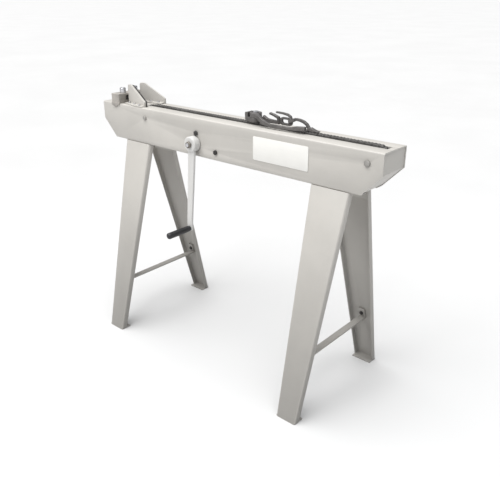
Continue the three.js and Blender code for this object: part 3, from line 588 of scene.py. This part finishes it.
def weld_bead(name, a, b, radius):
    """Rippled, painted bead of the bench from point a to point b."""
    bm = bmesh.new()
    along = (b - a).normalized()
    side = along.orthogonal().normalized()
    other = along.cross(side)
    steps = max(2, int((b - a).length / (0.8 * MM)))
    rings = []
    for k in range(steps + 1):
        fat = radius * (1 + 0.16 * math.sin(k * 1.9) + 0.05 * math.sin(k * 0.7))
        end = min(k, steps - k)
        fat *= 0.45 + 0.55 * min(1.0, end / 3)
        at = a.lerp(b, k / steps)
        ring = []
        for j in range(BEAD_SIDES):
            angle = math.tau * j / BEAD_SIDES
            ring.append(bm.verts.new(at + fat * (math.cos(angle) * side + math.sin(angle) * other)))
        rings.append(ring)
    for first, second in zip(rings, rings[1:]):
        for j in range(BEAD_SIDES):
            i = (j + 1) % BEAD_SIDES
            bm.faces.new((first[j], first[i], second[i], second[j]))
    bm.faces.new(list(reversed(rings[0])))
    bm.faces.new(rings[-1])
    bmesh.ops.recalc_face_normals(bm, faces=bm.faces)
    mesh = bpy.data.meshes.new(name + "_mesh")
    bm.to_mesh(mesh)
    bm.free()
    for polygon in mesh.polygons:
        polygon.use_smooth = True
    bead = bpy.data.objects.new(name, mesh)
    bpy.context.scene.collection.objects.link(bead)
    mesh.materials.append(LOOKS["paint"])
    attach(bead, "bench")


# The gussets' feet in plan, at their narrow and wide ends, for the rear one, and their height.
GUSSET_NARROW_END = (-0.552, 0.031)
GUSSET_WIDE_END = (-0.423, 0.055)
GUSSET_WELD_Z = 0.9528
FOOT_WELD_Z = 5.2 * MM
FOOT_WELD_HALF = 30 * MM


def build_welds():
    """Beads where the gussets meet their feet and the foot tabs meet the legs."""
    for sign, name in ((-1, "front"), (1, "rear")):
        start = Vector((GUSSET_NARROW_END[0], sign * GUSSET_NARROW_END[1]))
        end = Vector((GUSSET_WIDE_END[0], sign * GUSSET_WIDE_END[1]))
        along = (end - start).normalized()
        back = Vector((-along.y, along.x))
        length = (end - start).length
        a = start + along * 6 * MM - back * 0.2 * MM
        b = start + along * (length - 6 * MM) - back * 0.2 * MM
        ends = [Vector((*point, GUSSET_WELD_Z)) for point in (a, b)]
        weld_bead("gusset_weld_" + name, *ends, 1.8 * MM)
    for side in ("left", "right"):
        for row in ("front", "rear"):
            low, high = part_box("leg_" + row + "_" + side)
            sign = -1 if row == "front" else 1
            y = sign * (max(abs(low.y), abs(high.y)) - 6.4 * MM)
            mid = (low.x + high.x) / 2
            ends = [Vector((mid + way * FOOT_WELD_HALF, y, FOOT_WELD_Z)) for way in (-1, 1)]
            weld_bead("foot_weld_" + row + "_" + side, *ends, 1.6 * MM)


# ---- assembly ------------------------------------------------------------------------------

SHEET_PARTS = (
    "side_front", "side_rear", "end_plate_left", "end_plate_right", "leg_front_left", "leg_rear_left",
    "leg_front_right", "leg_rear_right", "saddle_left", "saddle_right", "brace_left", "brace_right",
    "crank_bracket",
)
for node in SHEET_PARTS:
    bevelled(node, 0.5 * MM)
for node in ("gusset_front", "gusset_rear"):
    bevelled(node, 0.9 * MM)
bevelled("crank_arm", 1.6 * MM, CHALKY, segments=3)
bevelled("die_holder", 1.0 * MM, BROWNED)
bevelled("draw_plate", 0.6 * MM)
bevelled("nameplate", 0.35 * MM)
SMALL_PARTS = [
    n for n in NODES
    if n.startswith(("gusset_front_bolt", "gusset_rear_bolt", "brace_bolt", "bearing_bolt", "axle_"))
]
for node in SMALL_PARTS + ["crank_nut", "tong_rivet", "grip_spindle", "crank_shaft"]:
    if node.startswith("axle_"):
        bevelled(node, 0.5 * MM, DULL)
    else:
        bevelled(node, 0.5 * MM, NUT_STEEL if node == "crank_nut" else None)
# The dark liner puts a dark sheet along the front gusset's slanted edge, where its shadow falls on the
# rear gusset: painted shadow.
bevelled("gusset_liner", 0.4 * MM)
bevelled("hook_tooth", 0.3 * MM, FORGED)
for node in (
    "bearing_front", "bearing_rear", "countershaft", "idler_roller_left", "idler_roller_right",
    "idler_axle_left", "idler_axle_right", "crank_bush",
):
    bevelled(node, 0.4 * MM)
for node in ("sprocket_left", "sprocket_right", "drive_sprocket", "gear", "pinion"):
    bevelled(node, 0.25 * MM, segments=1, angle=50)
for node, voxel, rounds in (
    ("tong_lower", 0.9 * MM, 3), ("tong_upper", 0.9 * MM, 3), ("pull_ring", 0.7 * MM, 4),
    ("pull_hook", 0.7 * MM, 3),
):
    forged(node, voxel, rounds, FORGED)
build_chain()
build_grip()
build_welds()
build_screw("clamp_screw_front")
build_screw("clamp_screw_rear")


# ---- stage, light, camera ------------------------------------------------------------------


FLOOR_HALF = 150.0


def build_stage():
    """A plain pale floor, wide enough to fill the view."""
    mesh = bpy.data.meshes.new("floor_mesh")
    corners = [(x * FLOOR_HALF, y * FLOOR_HALF, 0) for x, y in ((-1, -1), (1, -1), (1, 1), (-1, 1))]
    mesh.from_pydata(corners, [], [(0, 1, 2, 3)])
    floor = bpy.data.objects.new("floor", mesh)
    bpy.context.scene.collection.objects.link(floor)
    t = Tree("pale_floor")
    shade = t.mix(t.curve(t.noise(0.8, 3.0), 0.3, 0.7), (0.54, 0.54, 0.54), (0.56, 0.56, 0.56))
    rough = t.curve(t.noise(3.0), 0.3, 0.7, 0.7, 0.8)
    mesh.materials.append(t.finish(shade, rough, t.bump(t.noise(40.0), 0.02, 0.001)))


def area_light(name, place, target, size, watts, color=(1, 1, 1)):
    """A round soft box that points at a target."""
    data = bpy.data.lights.new(name, "AREA")
    data.shape = "DISK"
    data.size = size
    data.energy = watts
    data.color = color
    lamp = bpy.data.objects.new(name, data)
    bpy.context.scene.collection.objects.link(lamp)
    lamp.location = place
    lamp.rotation_euler = (Vector(target) - Vector(place)).to_track_quat("-Z", "Y").to_euler()


def soft_sky_light(watts, spread):
    """Even light from straight above, as from a wide ceiling diffuser."""
    data = bpy.data.lights.new("overhead", "SUN")
    data.energy = watts
    data.angle = spread
    lamp = bpy.data.objects.new("overhead", data)
    bpy.context.scene.collection.objects.link(lamp)
    lamp.rotation_euler = (math.radians(14), math.radians(-6), 0)


CAMERA_PLACE = (1.5152, -1.6066, 1.4020)
CAMERA_YAW = 0.7243
CAMERA_PITCH = -0.4184
CAMERA_ROLL = -0.0055
CAMERA_LENS = 43.08


def build_camera():
    """In front of the crank side, to the right and above the beam, as the photograph was taken."""
    yaw, pitch, roll = CAMERA_YAW, CAMERA_PITCH, CAMERA_ROLL
    ahead = Vector((-math.sin(yaw), math.cos(yaw), 0.0))
    forward = math.cos(pitch) * ahead + Vector((0.0, 0.0, math.sin(pitch)))
    level = Vector((math.cos(yaw), math.sin(yaw), 0.0))
    upright = level.cross(forward)
    right = math.cos(roll) * level + math.sin(roll) * upright
    up = -math.sin(roll) * level + math.cos(roll) * upright
    camera_data = bpy.data.cameras.new("camera")
    camera_data.sensor_width = 36.0
    camera_data.lens = CAMERA_LENS
    camera_data.clip_end = 500.0
    camera = bpy.data.objects.new("camera", camera_data)
    bpy.context.scene.collection.objects.link(camera)
    basis = Matrix((right, up, -forward)).transposed().to_4x4()
    camera.matrix_world = Matrix.Translation(CAMERA_PLACE) @ basis
    bpy.context.scene.camera = camera


def build_world(strength):
    """Even white light from all round."""
    world = bpy.data.worlds.new("studio")
    bpy.context.scene.world = world
    world.use_nodes = True
    background = world.node_tree.nodes["Background"]
    background.inputs["Color"].default_value = (1.0, 1.0, 1.0, 1.0)
    background.inputs["Strength"].default_value = strength


build_stage()
build_world(0.28)
soft_sky_light(5.0, math.radians(75))
area_light("key", (-0.3, -2.4, 2.2), (0, 0, 0.85), 1.2, 13)
area_light("right_fill", (3.0, -0.6, 2.0), (0.4, 0, 0.8), 1.5, 6.5, (0.76, 0.88, 1.0))
bpy.context.scene.view_settings.view_transform = "Standard"
build_camera()
